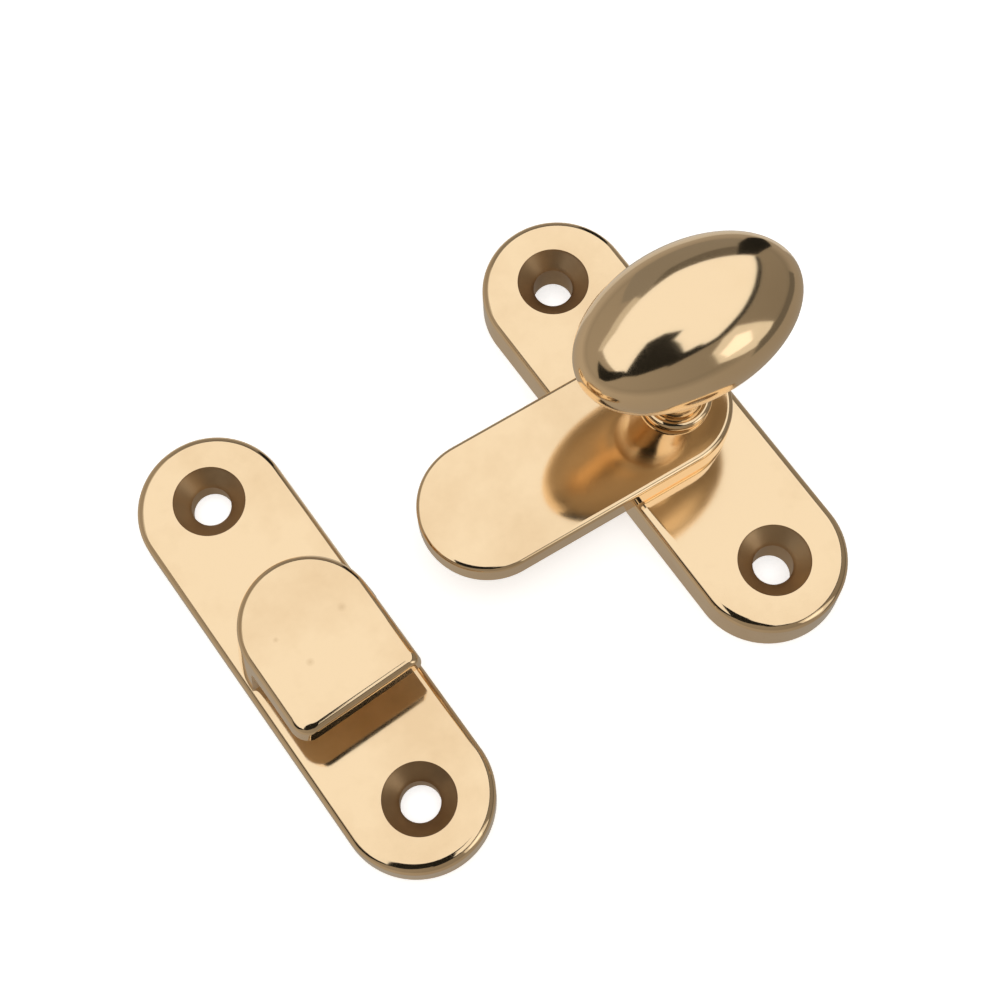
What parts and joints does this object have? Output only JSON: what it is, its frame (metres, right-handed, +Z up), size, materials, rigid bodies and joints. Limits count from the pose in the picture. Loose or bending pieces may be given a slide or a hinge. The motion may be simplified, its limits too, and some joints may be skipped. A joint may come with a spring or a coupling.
{
  "type": "window sash lock",
  "caption": "Sash window lock: a slot-shaped base plate with a turning blade and oval knob, and a separate screw-on keep whose hook the blade turns under.",
  "frame": {"origin": "on the face that both plates stand on, under the middle of the whole set's bounding box, with the keep lying beside the lock", "axes": "+Z up from the window's meeting rail, +Y along both plates, and -X from the lock toward the keep"},
  "size_m": [0.0644, 0.0542, 0.0356],
  "materials": {
    "polished_brass": "mirror polished, lightly handled",
    "plain_brass": "as turned",
    "spring_bronze": "rolled, satin"
  },
  "bodies": {
    "base": {"base_plate": "polished_brass", "spring_washer": "spring_bronze"},
    "turn": {"latch_blade": "polished_brass", "neck_collar": "polished_brass", "oval_knob": "polished_brass", "spindle": "plain_brass", "backing_washer": "plain_brass"},
    "keep": {"keep": "polished_brass"}
  },
  "joints": [
    {"name": "blade_turn", "type": "hinge", "parent": "base", "child": "turn", "pos_m": [0.02037, -0.00095, 0], "axis": [0, 0, 1], "continuous": true},
    {"name": "sash_travel", "type": "slide", "parent": "base", "child": "keep", "axis": [0, 0, 1], "range_m": [0, 0.06]}
  ]
}
